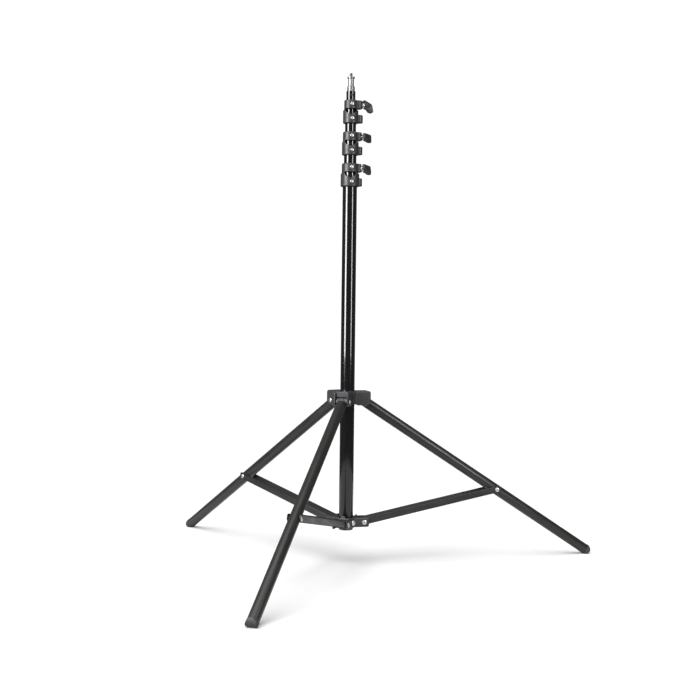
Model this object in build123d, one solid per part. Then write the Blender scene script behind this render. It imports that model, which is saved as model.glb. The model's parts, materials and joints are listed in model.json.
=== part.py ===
"""Folding telescopic lighting stand: a column with three risers, a sliding leg collar,
a bottom hub, three legs with channel braces, and clamp collars with lever screws.

Millimetres. The origin is on the floor on the column's axis, +Z is up, and leg 1
points along +X. Legs 2 and 3 follow at 120 degree steps, counter-clockwise from above.
"""
import os
from math import asin, atan2, cos, degrees, hypot, radians, sin

from build123d import *

# Telescoping tubes, from the outermost to the innermost: outer radius and wall.
COLUMN_R = 15.0
COLUMN_WALL = 1.5
RISER_R = (13.0, 11.5, 9.5)
RISER_WALL = 1.2

# Legs: pivot on the leg collar, centre of the rounded foot, brace pivot along the leg.
LEG_COUNT = 3
LEG_PIVOT_RHO = 35.3
LEG_PIVOT_Z = 342.5
FOOT_RHO = 543.6
FOOT_Z = 11.6
FOOT_R = 11.6
FOOT_RIM_AT = 3.0
FOOT_TIP_AT = 12.0
FOOT_ARC_R = 12.7
FOOT_PLUG = 25.0
LEG_R = 11.0
LEG_WALL = 1.2
LEG_TUBE_START = 9.6
BRACE_AT = 355.8

# Braces: pivot on the hub, section of the channel, and length of the open fork.
HUB_PIVOT_RHO = 36.2
HUB_PIVOT_Z = 87.2
BRACE_HALF = 13.1
BRACE_SHEET = 1.5
BRACE_WEB_TOP = 8.6
BRACE_SKIRT = 5.9
BRACE_END = 8.6
BRACE_FORK = 76.0
FOLDED_BRACE_TILT = 2.0

# Leg collar: heights are measured from the leg pivots.
COLLAR_CORE_R = 22.0
COLLAR_UP = 21.5
COLLAR_DOWN = 6.6
COLLAR_ROOF_UNDER = 10.0
COLLAR_SLOT_HALF = 12.3
COLLAR_EAR_HALF = 16.3
COLLAR_EAR_RHO = 47.5
COLLAR_EAR_DOWN = 9.0
COLLAR_BORE_GAP = 0.35
COLLAR_LOCK_AZ = 60.0
COLLAR_LOCK_UP = 8.0

# Hub: heights are measured from the brace pivots.
HUB_HALF_H = 10.2
HUB_CORE_R = 21.5
HUB_SLOT_HALF = 13.5
HUB_EAR_HALF = 16.5
HUB_EAR_RHO = 47.0
HUB_SLOT_RHO = 24.5
HUB_TAB_W = 10.5
HUB_TAB_T = 2.2
HUB_TAB_TOP = 14.8
HUB_SCREW_AZ = -60.0
HUB_EAR_CORNER = (2.5, 4.0)
PLUG_CAP_H = 8.5
PLUG_SHANK = 6.0

# Pivot pins, rivets and screws.
PIN_R = 3.0
PIN_FIT = 0.05
PIN_HEAD_R = 5.0
PIN_HEAD_H = 1.8
LEG_PIN_HEAD_R = 4.5
PIN_BLIND = 1.6
RIVET_R = 2.5
BUSH_R = 4.0
BUSH_BORE_R = 3.1
HUB_SCREW_R = 2.5
SCREW_HEAD_R = 5.5
SCREW_HEAD_H = 2.0
SCREW_SEAT = 1.3

# Riser clamp collars: bottoms at rest, and heights measured from the bottom.
CLAMP_BOTTOM = (790.5, 856.0, 922.0)
CLAMP_H = 48.5
CLAMP_STEP = 24.0
CLAMP_UPPER_WALL = 4.3
CLAMP_LOWER_WALL = 4.5
CLAMP_SLIDE_GAP = 0.35
CLAMP_SOCKET = 22.0
WINDOW_LOW = 18.5
WINDOW_TOP = 30.5
WINDOW_HALF_W = 11.5
WINDOW_TURN = -12.0
BOSS_REACH = 24.3
LOWER_BOSS_REACH = 26.0
BOSS_HALF_W = 8.0
UPPER_BOSS = (30.5, 48.5)
LOWER_BOSS = (1.5, 18.5)
LEVER_AXIS_UP = 38.5
FRONT_SCREW_UP = (10.0, 40.0)
FRONT_SHANK_R = 2.0
FRONT_SCREW_R = 3.4
FRONT_SCREW_H = 1.4
FRONT_BOSS_R = 5.2
SOCKET_R = 1.1

# Lever screws: spacer ring, hub and arm of the lever; turns at rest for each collar.
LEVER_SCREW_R = 3.0
SPACER_R = 6.0
SPACER_T = 4.0
LEVER_HUB_R = 6.5
LEVER_HUB_L = 9.0
LEVER_HALF_T = 5.6
LEVER_OUTLINE = ((0.4, -6.2), (0.4, 6.8), (-3.4, 6.8), (-3.4, 9.8), (0.6, 11.2), (15, 3.4), (17.3, -1),
                 (19.5, -13), (15.5, -15), (8.6, -13), (5.8, -8.2))
LEVER_TURN = (64.0, 73.0, 0.0)
LOCK_SEAT = 30.0
LOCK_BOSS_R = 8.0
NUT_HALF_AF = 5.5
NUT_T = 5.0
SHOE_R = 4.4
SHOE_T = 2.6

# Riser tubes: bottoms at rest, and the guide bush in each foot.
RISER_BOTTOM = (103.4, 111.7, 120.0)
GUIDE_T = 8.0
GUIDE_PLUG = 18.0
GUIDE_GAP = 0.12

# Top spigot, measured from the top riser's upper end.
TOP_TUBE_Z = 988.7
SPIGOT_R = 7.9375
SPIGOT_NECK_R = 6.0
SPIGOT_BASE_H = 10.3
SPIGOT_NECK_H = 16.5
SPIGOT_FLANGE_H = 3.5
SPIGOT_THREAD_R = 3.175
SPIGOT_THREAD_H = 8.0
SPIGOT_SHANK = 30.0
SPIGOT_RIVET_DOWN = 8.5
SPIGOT_RIVET_R = 1.6

FIT = 0.02
BOTTOM = (Align.CENTER, Align.CENTER, Align.MIN)

# The legs' and braces' lines at rest and folded follow from the pivots.
LEG_TILT = degrees(atan2(FOOT_RHO - LEG_PIVOT_RHO, LEG_PIVOT_Z - FOOT_Z))
LEG_LENGTH = hypot(FOOT_RHO - LEG_PIVOT_RHO, LEG_PIVOT_Z - FOOT_Z)
BRACE_TOP_RHO = LEG_PIVOT_RHO + BRACE_AT * sin(radians(LEG_TILT))
BRACE_TOP_Z = LEG_PIVOT_Z - BRACE_AT * cos(radians(LEG_TILT))
BRACE_LENGTH = hypot(BRACE_TOP_RHO - HUB_PIVOT_RHO, BRACE_TOP_Z - HUB_PIVOT_Z)
BRACE_TILT = degrees(atan2(BRACE_TOP_RHO - HUB_PIVOT_RHO, BRACE_TOP_Z - HUB_PIVOT_Z))
FOLDED_RHO = HUB_PIVOT_RHO + BRACE_LENGTH * sin(radians(FOLDED_BRACE_TILT))
FOLDED_LEG_TILT = degrees(asin((FOLDED_RHO - LEG_PIVOT_RHO) / BRACE_AT))
FOLDED_LEG_RISE = BRACE_AT * cos(radians(FOLDED_LEG_TILT))
FOLDED_BRACE_RISE = BRACE_LENGTH * cos(radians(FOLDED_BRACE_TILT))
SLIDE_TRAVEL = HUB_PIVOT_Z + FOLDED_BRACE_RISE + FOLDED_LEG_RISE - LEG_PIVOT_Z


def tube_along_z(outer, inner, low, high):
    """A round tube about the Z axis."""
    height = high - low
    return Pos(0, 0, low) * (Cylinder(outer, height, align=BOTTOM) - Cylinder(inner, height, align=BOTTOM))


def rod_along_z(radius, low, high):
    """A round rod about the Z axis."""
    return Pos(0, 0, low) * Cylinder(radius, high - low, align=BOTTOM)


def block(x, y, z):
    """A box from three (low, high) pairs."""
    size = [pair[1] - pair[0] for pair in (x, y, z)]
    return Pos(x[0], y[0], z[0]) * Box(*size, align=(Align.MIN, Align.MIN, Align.MIN))


def cross_rod(radius, low, high, x=0.0, z=0.0):
    """A round rod along Y, through (x, z)."""
    frame = Plane(origin=(x, low, z), x_dir=(1, 0, 0), z_dir=(0, 1, 0))
    return frame * Cylinder(radius, high - low, align=BOTTOM)


def cross_head(radius, height, face, x=0.0, z=0.0):
    """A low domed head on a rod along Y; a negative height points it towards -Y."""
    way = 1 if height > 0 else -1
    frame = Plane(origin=(x, face, z), x_dir=(1, 0, 0), z_dir=(0, way, 0))
    disc = Cylinder(radius, abs(height), align=BOTTOM)
    rim = disc.edges().sort_by(Axis.Z)[-1]
    return frame * fillet(rim, abs(height) * 0.8)


def radial_rod(radius, low, high, z, azimuth=0.0):
    """A round rod along the radius at an azimuth."""
    frame = Plane(origin=(low, 0, z), x_dir=(0, 1, 0), z_dir=(1, 0, 0))
    return Rot(0, 0, azimuth) * (frame * Cylinder(radius, high - low, align=BOTTOM))


def radial_head(radius, height, rho, z, azimuth):
    """A low domed screw head that faces outwards."""
    disc = Cylinder(radius, height, align=BOTTOM)
    rim = disc.edges().sort_by(Axis.Z)[-1]
    frame = Plane(origin=(rho, 0, z), x_dir=(0, 1, 0), z_dir=(1, 0, 0))
    return Rot(0, 0, azimuth) * (frame * fillet(rim, height * 0.7))


def side_profile(points, half_width):
    """An outline in the radial plane, given as (rho, z), drawn out to both sides."""
    face = make_face(Plane.XZ * Polyline(*points, close=True))
    return extrude(face, half_width, both=True)


# The column and the three risers.

def column_tube():
    """The outer column tube, from the hub's floor to the first clamp collar's step."""
    low = HUB_PIVOT_Z - HUB_HALF_H + 2.0
    tube = tube_along_z(COLUMN_R, COLUMN_R - COLUMN_WALL, low, CLAMP_BOTTOM[0] + CLAMP_SOCKET)
    tube -= radial_rod(HUB_SCREW_R + FIT, 0, COLUMN_R + 1, HUB_PIVOT_Z, HUB_SCREW_AZ)
    return tube - radial_rod(FRONT_SHANK_R + FIT, 0, COLUMN_R + 1, CLAMP_BOTTOM[0] + FRONT_SCREW_UP[0], -90)


def column_plug():
    """A moulded plug that closes the column's foot and stands out under the hub."""
    seat = HUB_PIVOT_Z - HUB_HALF_H + 2.0
    cap = rod_along_z(COLUMN_R - FIT, seat - PLUG_CAP_H, seat)
    cap = fillet(cap.edges().group_by(Axis.Z)[0], 2.0)
    shank = rod_along_z(COLUMN_R - COLUMN_WALL - FIT, seat, seat + PLUG_SHANK)
    hollow = rod_along_z(COLUMN_R - COLUMN_WALL - 2.5, seat - PLUG_CAP_H + 2.5, seat + PLUG_SHANK)
    return cap + shank - hollow


def riser_top(n):
    """Where a riser tube ends at rest: in the socket of its collar, or under the spigot."""
    if n < 2:
        return CLAMP_BOTTOM[n + 1] + CLAMP_SOCKET
    return TOP_TUBE_Z


def riser_tube(n):
    """A riser tube; a small hole near the top takes the screw or rivet that fixes it."""
    inner = RISER_R[n] - RISER_WALL
    tube = tube_along_z(RISER_R[n], inner, RISER_BOTTOM[n] + GUIDE_T, riser_top(n))
    if n < 2:
        hole_z = CLAMP_BOTTOM[n + 1] + FRONT_SCREW_UP[0]
        return tube - radial_rod(FRONT_SHANK_R + FIT, 0, RISER_R[n] + 1, hole_z, -90)
    return tube - radial_rod(SPIGOT_RIVET_R + FIT, 0, RISER_R[n] + 1, TOP_TUBE_Z - SPIGOT_RIVET_DOWN, -90)


def riser_guide(n):
    """A guide bush in a riser's foot: a running collar with a plug inside the tube."""
    outer = (COLUMN_R - COLUMN_WALL, RISER_R[0] - RISER_WALL, RISER_R[1] - RISER_WALL)[n]
    low = RISER_BOTTOM[n]
    plug_r = RISER_R[n] - RISER_WALL - FIT
    next_riser_r = RISER_R[n + 1] if n < 2 else 4.0
    bush = rod_along_z(outer - GUIDE_GAP, low, low + GUIDE_T)
    if n == 2:
        bush += rod_along_z(plug_r, low + GUIDE_T, low + GUIDE_PLUG)
    bush = chamfer(bush.edges().group_by(Axis.Z)[0], 0.8)
    if n < 2:
        return bush - rod_along_z(next_riser_r - 2.5, low, low + GUIDE_T)
    return bush - rod_along_z(plug_r - 2.5, low, low + GUIDE_PLUG)


# The clamp collars of the risers.

def clamp_radii(n):
    """Radii of collar n: sliding tube, tube that holds it, upper and lower sleeve."""
    holder = (COLUMN_R, RISER_R[0], RISER_R[1])[n]
    slider = RISER_R[n]
    return slider, holder, slider + CLAMP_UPPER_WALL, holder + CLAMP_LOWER_WALL


def boss(span, reach, half_width):
    """A radial boss along +X with an end that is round from above."""
    low, high = span
    lug = block((0, reach - half_width), (-half_width, half_width), span)
    lug += Pos(reach - half_width, 0, 0) * rod_along_z(half_width, low, high)
    lip = lug.edges().group_by(Axis.Z)[0] + lug.edges().group_by(Axis.Z)[-1]
    return fillet(lip, 2.2)


def hex_prism(half_flats, low, high, z):
    """A hexagonal prism along +X."""
    frame = Plane(origin=(low, 0, z), x_dir=(0, 1, 0), z_dir=(1, 0, 0))
    return frame * extrude(RegularPolygon(half_flats, 6, major_radius=False), high - low)


def clamp_casting(n):
    """The collar body: two sleeves, a front window, two side bosses and two screw seats."""
    slider, holder, upper_r, lower_r = clamp_radii(n)
    lower = rod_along_z(lower_r, 0, CLAMP_STEP + 4.0)
    lower = fillet(lower.edges().group_by(Axis.Z)[0], 2.0)
    lower = chamfer(lower.edges().group_by(Axis.Z)[-1], 1.6)
    upper = rod_along_z(upper_r, CLAMP_STEP, CLAMP_H)
    upper = fillet(upper.edges().group_by(Axis.Z)[-1], 2.4)
    body = lower + upper
    body += boss(UPPER_BOSS, BOSS_REACH, BOSS_HALF_W)
    body += boss(LOWER_BOSS, LOWER_BOSS_REACH, BOSS_HALF_W - 0.5)
    body += cross_rod(FRONT_BOSS_R, -lower_r - 0.6, -holder, z=FRONT_SCREW_UP[0])
    body += cross_rod(FRONT_BOSS_R, -upper_r - 0.6, -slider, z=FRONT_SCREW_UP[1])
    body -= rod_along_z(holder + FIT, 0, CLAMP_SOCKET + FIT)
    body -= rod_along_z(slider + CLAMP_SLIDE_GAP, 0, CLAMP_H)
    body -= window_cut(lower_r)
    nut_low = upper_r + 1.5
    body -= hex_prism(NUT_HALF_AF + FIT, nut_low, nut_low + NUT_T, LEVER_AXIS_UP)
    body -= radial_rod(LEVER_SCREW_R + 0.4, slider, BOSS_REACH + 1, LEVER_AXIS_UP)
    body -= radial_rod(SHOE_R + FIT, slider - 1, slider + SHOE_T + 0.5, LEVER_AXIS_UP)
    body -= cross_rod(FRONT_SHANK_R + FIT, -lower_r - 2, -holder + 2, z=FRONT_SCREW_UP[0])
    body -= cross_rod(FRONT_SCREW_R + 0.4, -lower_r - 2, -lower_r + 0.6, z=FRONT_SCREW_UP[0])
    body -= cross_rod(FRONT_SHANK_R + FIT, -upper_r - 2, -upper_r + 2.8, z=FRONT_SCREW_UP[1])
    body -= cross_rod(FRONT_SCREW_R + 0.8, -upper_r - 2, -upper_r + 0.6, z=FRONT_SCREW_UP[1])
    return body


def window_cut(reach):
    """The front window: a flat top edge over a round lower edge."""
    chord = WINDOW_TOP - WINDOW_LOW - 4.5
    left = (-WINDOW_HALF_W, WINDOW_LOW + chord)
    right = (WINDOW_HALF_W, WINDOW_LOW + chord)
    top_left = (-WINDOW_HALF_W, WINDOW_TOP)
    top_right = (WINDOW_HALF_W, WINDOW_TOP)
    edges = Polyline(left, top_left, top_right, right) + ThreePointArc(left, (0, WINDOW_LOW), right)
    face = make_face(Plane.XZ * edges)
    return Rot(0, 0, WINDOW_TURN) * Pos(0, -2, 0) * extrude(face, reach + 5, dir=(0, -1, 0))


def clamp_screws(n):
    """The two screws on a collar's front face: the lower one holds the casting on its tube."""
    slider, holder, upper_r, lower_r = clamp_radii(n)
    low, high = FRONT_SCREW_UP
    first = cross_rod(FRONT_SHANK_R, -lower_r + 0.6, -holder + COLUMN_WALL, z=low)
    first += cross_head(FRONT_SCREW_R, -FRONT_SCREW_H, -lower_r + 0.6, z=low)
    first -= cross_rod(SOCKET_R, -lower_r - 3, -lower_r - 0.2, z=low)
    second = cross_rod(FRONT_SHANK_R, -upper_r + 0.6, -upper_r + 2.8, z=high)
    second += cross_head(FRONT_SCREW_R + 0.4, -FRONT_SCREW_H, -upper_r + 0.6, z=high)
    second -= cross_rod(SOCKET_R, -upper_r - 3, -upper_r - 0.2, z=high)
    return Compound([first.solid(), second.solid()])


def clamp_nut(n):
    """The hexagon nut let into the upper boss, which the lever screw runs in."""
    nut_low = clamp_radii(n)[2] + 1.5
    nut = hex_prism(NUT_HALF_AF, nut_low, nut_low + NUT_T, LEVER_AXIS_UP)
    return nut - radial_rod(LEVER_SCREW_R + PIN_FIT, 0, BOSS_REACH, LEVER_AXIS_UP)


def clamp_shoe(n):
    """The nylon shoe between the lever screw and the sliding tube."""
    slider = RISER_R[n]
    shoe = radial_rod(SHOE_R, slider - 1, slider + SHOE_T, LEVER_AXIS_UP)
    return shoe - rod_along_z(slider + CLAMP_SLIDE_GAP, 0, CLAMP_H)


def lever_screw(tip_rho, seat_rho, z):
    """The plain-shank screw of a lever, from the shoe to the lever's hub."""
    screw = radial_rod(LEVER_SCREW_R, tip_rho, seat_rho + SPACER_T + 7.0, z)
    return chamfer(screw.edges().sort_by(Axis.X)[0], 0.6)


def lever_spacer(seat_rho, z):
    """The steel spacer ring between the boss and the lever."""
    ring = radial_rod(SPACER_R, seat_rho + 0.3, seat_rho + SPACER_T, z)
    ring = chamfer(ring.edges().filter_by(GeomType.CIRCLE), 0.5)
    return ring - radial_rod(LEVER_SCREW_R + FIT, 0, seat_rho + SPACER_T + 1, z)


def lever_handle(seat_rho, z, turn):
    """The cast lever: a round hub with one cranked arm, turned about the screw's axis."""
    arm = side_profile(LEVER_OUTLINE, LEVER_HALF_T)
    arm = fillet(arm.edges().filter_by(Axis.Y), 1.2)
    arm = fillet(arm.edges().filter_by(Plane.XZ), 1.0)
    hub = radial_rod(LEVER_HUB_R, 0, LEVER_HUB_L, 0)
    hub = fillet(hub.edges().filter_by(GeomType.CIRCLE), 0.8)
    lever = hub + arm - radial_rod(LEVER_SCREW_R + FIT, -1, 7.0 + FIT, 0)
    return Pos(seat_rho + SPACER_T, 0, z) * Rot(turn, 0, 0) * lever


# The leg collar.

def at_each_leg(piece):
    """Three copies of a piece, one at each leg."""
    return [Rot(0, 0, 120 * i) * piece for i in range(LEG_COUNT)]


def clevis_block(top, bottom, reach, half, corner_top, corner_bottom):
    """A solid lug with rounded outer corners, which a slot then makes a clevis."""
    face = make_face(Plane.XZ * Polyline((0, bottom), (reach, bottom), (reach, top), (0, top), close=True))
    outer = face.vertices().group_by(Axis.X)[-1].sort_by(Axis.Z)
    face = fillet(outer[0], corner_bottom)
    outer = face.vertices().filter_by(lambda v: v.X > reach - 0.1 and v.Z > top - 0.1)
    face = fillet(outer, corner_top)
    lug = extrude(face, half, both=True)
    upright = lug.edges().filter_by(Axis.Z).group_by(Axis.X)[-1]
    return fillet(upright, 3.0)


def leg_collar():
    """The sliding collar: a sleeve with three roofed clevises and the lock screw's boss."""
    z = LEG_PIVOT_Z
    body = rod_along_z(COLLAR_CORE_R, z - COLLAR_DOWN, z + COLLAR_UP)
    body = fillet(body.edges().group_by(Axis.Z)[-1], 2.0)
    lug = clevis_block(z + COLLAR_UP, z - COLLAR_EAR_DOWN, COLLAR_EAR_RHO, COLLAR_EAR_HALF, 5.0, 8.0)
    ear_half = COLLAR_SLOT_HALF
    slot = block((COLLAR_CORE_R + 0.8, 60), (-ear_half, ear_half), (z - 20, z + COLLAR_ROOF_UNDER))
    under = block((-60, COLLAR_CORE_R - 2), (-60, 60), (z - 20, z - COLLAR_DOWN))
    roof_end = block((COLLAR_EAR_RHO - 4.5, 60), (-ear_half, ear_half), (z - 20, z + 40))
    hole = cross_rod(PIN_R + FIT, -COLLAR_EAR_HALF + PIN_BLIND, COLLAR_EAR_HALF + 5, x=LEG_PIVOT_RHO, z=z)
    for piece in at_each_leg(lug - under):
        body += piece
    body += Rot(0, 0, COLLAR_LOCK_AZ) * Pos(0, 0, z) * lock_boss()
    for ridge in bisector_ridges(z - COLLAR_DOWN, z + COLLAR_UP - 4.0):
        body += ridge
    for piece in at_each_leg(slot) + at_each_leg(roof_end) + at_each_leg(hole):
        body -= piece
    body -= rod_along_z(COLUMN_R + COLLAR_BORE_GAP, z - 30, z + 40)
    lock_z = z + COLLAR_LOCK_UP
    nut_low = COLLAR_CORE_R - 0.5
    cuts = hex_prism(NUT_HALF_AF + FIT, nut_low, nut_low + NUT_T, lock_z)
    cuts += radial_rod(LEVER_SCREW_R + 0.4, COLUMN_R, 40, lock_z)
    cuts += radial_rod(SHOE_R + FIT, COLUMN_R - 1, COLUMN_R + SHOE_T + 0.5, lock_z)
    return body - Rot(0, 0, COLLAR_LOCK_AZ) * cuts


def lock_boss():
    """The round boss that carries the lock screw, on the side between legs 1 and 2."""
    stub = radial_rod(LOCK_BOSS_R, COLLAR_CORE_R - 6, LOCK_SEAT, COLLAR_LOCK_UP)
    return fillet(stub.edges().filter_by(GeomType.CIRCLE).sort_by(Axis.X)[-1], 1.5)


def bisector_ridges(low, high):
    """Upright stiffening ridges on the sleeve, on the sides that carry no lock screw."""
    ridges = []
    for azimuth in (-60, 180):
        for offset in (-3.2, 3.2):
            bar = block((COLLAR_CORE_R - 2, COLLAR_CORE_R + 1.0), (offset - 0.8, offset + 0.8), (low, high))
            ridges.append(Rot(0, 0, azimuth) * bar)
    return ridges


def leg_pins():
    """Three pins that carry the legs; each has one head and a blind end."""
    z = LEG_PIVOT_Z
    pin = cross_rod(PIN_R, -COLLAR_EAR_HALF + PIN_BLIND, COLLAR_EAR_HALF, x=LEG_PIVOT_RHO, z=z)
    pin += cross_head(LEG_PIN_HEAD_R, PIN_HEAD_H, COLLAR_EAR_HALF, x=LEG_PIVOT_RHO, z=z)
    return Compound([piece.solid() for piece in at_each_leg(pin)])


def lock_nut():
    """The hexagon nut of the leg collar's lock screw."""
    nut_low = COLLAR_CORE_R - 0.5
    nut = hex_prism(NUT_HALF_AF, nut_low, nut_low + NUT_T, LEG_PIVOT_Z + COLLAR_LOCK_UP)
    nut -= radial_rod(LEVER_SCREW_R + PIN_FIT, 0, 40, LEG_PIVOT_Z + COLLAR_LOCK_UP)
    return Rot(0, 0, COLLAR_LOCK_AZ) * nut


def lock_shoe():
    """The nylon shoe of the leg collar's lock screw."""
    z = LEG_PIVOT_Z + COLLAR_LOCK_UP
    shoe = radial_rod(SHOE_R, COLUMN_R - 1, COLUMN_R + SHOE_T, z)
    shoe -= rod_along_z(COLUMN_R + COLLAR_BORE_GAP, z - 20, z + 20)
    return Rot(0, 0, COLLAR_LOCK_AZ) * shoe


# The legs, drawn along their own axis: x is across, y is the upper side, z runs to the foot.

def leg_frame():
    """The frame of leg 1: origin on its pivot, local Z along the leg."""
    tilt = radians(LEG_TILT)
    return Plane(origin=(LEG_PIVOT_RHO, 0, LEG_PIVOT_Z), x_dir=(0, 1, 0), z_dir=(sin(tilt), 0, -cos(tilt)))


def across(radius, half, along, up=0.0):
    """A rod across the leg or brace, in its own frame."""
    frame = Plane(origin=(-half, up, along), x_dir=(0, 1, 0), z_dir=(1, 0, 0))
    return frame * Cylinder(radius, 2 * half, align=BOTTOM)


def leg_tube():
    """The leg's tube, with a cross hole for the brace bush."""
    tube = tube_along_z(LEG_R, LEG_R - LEG_WALL, LEG_TUBE_START, LEG_LENGTH + FOOT_RIM_AT)
    return leg_frame() * (tube - across(BUSH_R + FIT, 20, BRACE_AT))


def leg_knuckle():
    """The moulded end of a leg: a barrel on the pivot pin and a plug inside the tube."""
    barrel = across(9.4, COLLAR_SLOT_HALF - 0.4, 0)
    barrel = fillet(barrel.edges().filter_by(GeomType.CIRCLE), 1.0)
    neck = rod_along_z(LEG_R - 0.2, 1.0, LEG_TUBE_START)
    plug = rod_along_z(LEG_R - LEG_WALL - FIT, LEG_TUBE_START, LEG_TUBE_START + 26)
    return leg_frame() * (barrel + neck + plug - across(PIN_R + PIN_FIT, 20, 0))


def leg_bush():
    """The steel bush through the leg at the brace."""
    return leg_frame() * (across(BUSH_R, LEG_R - 0.1, BRACE_AT) - across(BUSH_BORE_R, 20, BRACE_AT))


def leg_foot():
    """The foot: a plug with a round rim and an end that is an arc from the side, with a floor flat."""
    rim = LEG_LENGTH + FOOT_RIM_AT
    head = rod_along_z(FOOT_R, rim, LEG_LENGTH + FOOT_TIP_AT + 1)
    head &= across(FOOT_ARC_R, 20, LEG_LENGTH + FOOT_TIP_AT - FOOT_ARC_R)
    plug = rod_along_z(LEG_R - LEG_WALL - FIT, rim - FOOT_PLUG, rim)
    foot = leg_frame() * (head + plug)
    return foot - block((FOOT_RHO - 40, FOOT_RHO + 40), (-30, 30), (-10, 0))


# The braces, drawn along their own axis: x is across, y is the web's side, z runs to the leg.

def brace_frame():
    """The frame of brace 1: origin on its hub pivot, local Z towards the leg."""
    tilt = radians(BRACE_TILT)
    return Plane(origin=(HUB_PIVOT_RHO, 0, HUB_PIVOT_Z), x_dir=(0, 1, 0), z_dir=(sin(tilt), 0, cos(tilt)))


def channel_outline(half, top, skirt, corner):
    """A section with two rounded upper corners."""
    face = make_face(Polyline((-half, -skirt), (half, -skirt), (half, top), (-half, top), close=True))
    return fillet(face.vertices().group_by(Axis.Y)[-1], corner)


def brace_channel():
    """The pressed channel: a web on top, two flanges, round ends and an open fork at the leg."""
    length = BRACE_LENGTH + 2 * BRACE_END
    outer = extrude(channel_outline(BRACE_HALF, BRACE_WEB_TOP, BRACE_SKIRT, 2.6), length)
    inner_half = BRACE_HALF - BRACE_SHEET
    inner = extrude(channel_outline(inner_half, BRACE_WEB_TOP - BRACE_SHEET, BRACE_SKIRT + 5, 1.1), length)
    bar = Pos(0, 0, -BRACE_END) * (outer - inner)
    side = Plane.YZ * make_face(Polyline(
        (-BRACE_SKIRT, -BRACE_END), (BRACE_WEB_TOP, -BRACE_END),
        (BRACE_WEB_TOP, BRACE_LENGTH + BRACE_END), (-BRACE_SKIRT, BRACE_LENGTH + BRACE_END), close=True))
    bar = bar & extrude(fillet(side.vertices(), 6.4), 20, both=True)
    start = BRACE_LENGTH - BRACE_FORK
    fork = block((-inner_half, inner_half), (0, 20), (start + inner_half, BRACE_LENGTH + 20))
    slot_end = Plane(origin=(0, 0, start + inner_half), x_dir=(1, 0, 0), z_dir=(0, 1, 0))
    fork += slot_end * Cylinder(inner_half, 20, align=BOTTOM)
    hub_slot = block((-inner_half, inner_half), (0, 20), (-BRACE_END - 1, -BRACE_END + 3.4))
    bar = bar - fork - hub_slot
    bar = bar - across(PIN_R + PIN_FIT, 30, 0) - across(RIVET_R + FIT, 30, BRACE_LENGTH)
    return brace_frame() * bar


def brace_rivets():
    """Two short rivets, one in each flange at the leg."""
    heads = []
    for way in (-1, 1):
        outside = Plane(origin=(way * BRACE_HALF, 0, BRACE_LENGTH), x_dir=(0, 1, 0), z_dir=(way, 0, 0))
        inside = Plane(origin=(way * BRACE_HALF, 0, BRACE_LENGTH), x_dir=(0, 1, 0), z_dir=(-way, 0, 0))
        disc = Cylinder(PIN_HEAD_R - 0.3, PIN_HEAD_H, align=BOTTOM)
        head = outside * fillet(disc.edges().sort_by(Axis.Z)[-1], PIN_HEAD_H * 0.8)
        shank = inside * Cylinder(RIVET_R, BRACE_SHEET, align=BOTTOM)
        heads.append((head + shank).solid())
    return brace_frame() * Compound(heads)


# The hub.

def hub():
    """The bottom hub: a core round the column, three open clevises and three stop tabs."""
    z = HUB_PIVOT_Z
    low, high = z - HUB_HALF_H, z + HUB_HALF_H
    body = rod_along_z(HUB_CORE_R, low, high)
    lug = clevis_block(high, low, HUB_EAR_RHO, HUB_EAR_HALF, *HUB_EAR_CORNER)
    slot = block((HUB_SLOT_RHO, 60), (-HUB_SLOT_HALF, HUB_SLOT_HALF), (low - 5, high + 5))
    tab = block((HUB_CORE_R - 0.5, HUB_CORE_R - 0.5 + HUB_TAB_T), (-HUB_TAB_W / 2, HUB_TAB_W / 2),
                (high - 3, z + HUB_TAB_TOP))
    tab = fillet(tab.edges().filter_by(Axis.X).group_by(Axis.Z)[-1], 1.5)
    hole = cross_rod(PIN_R + FIT, -HUB_EAR_HALF - 2, HUB_EAR_HALF + 2, x=HUB_PIVOT_RHO, z=z)
    for piece in at_each_leg(lug):
        body += piece
    for piece in at_each_leg(tab):
        body += piece
    for piece in at_each_leg(slot) + at_each_leg(hole):
        body -= piece
    body += radial_rod(SCREW_HEAD_R + 0.4, COLUMN_R, HUB_CORE_R + SCREW_SEAT, z, HUB_SCREW_AZ)
    body -= rod_along_z(COLUMN_R + FIT, low - 1, high + 1)
    body -= radial_rod(HUB_SCREW_R + FIT, 0, HUB_CORE_R + 5, z, HUB_SCREW_AZ)
    return body


def hub_pins():
    """Three through pins with a head on both ends, which carry the braces."""
    z = HUB_PIVOT_Z
    pin = cross_rod(PIN_R, -HUB_EAR_HALF, HUB_EAR_HALF, x=HUB_PIVOT_RHO, z=z)
    pin += cross_head(PIN_HEAD_R, PIN_HEAD_H, HUB_EAR_HALF, x=HUB_PIVOT_RHO, z=z)
    pin += cross_head(PIN_HEAD_R, -PIN_HEAD_H, -HUB_EAR_HALF, x=HUB_PIVOT_RHO, z=z)
    return Compound([piece.solid() for piece in at_each_leg(pin)])


def hub_screw():
    """The radial screw that fixes the hub on the column tube."""
    seat = HUB_CORE_R + SCREW_SEAT
    shank = radial_rod(HUB_SCREW_R, COLUMN_R - COLUMN_WALL, seat, HUB_PIVOT_Z, HUB_SCREW_AZ)
    return shank + radial_head(SCREW_HEAD_R, SCREW_HEAD_H, seat, HUB_PIVOT_Z, HUB_SCREW_AZ)


# The spigot on top.

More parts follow.
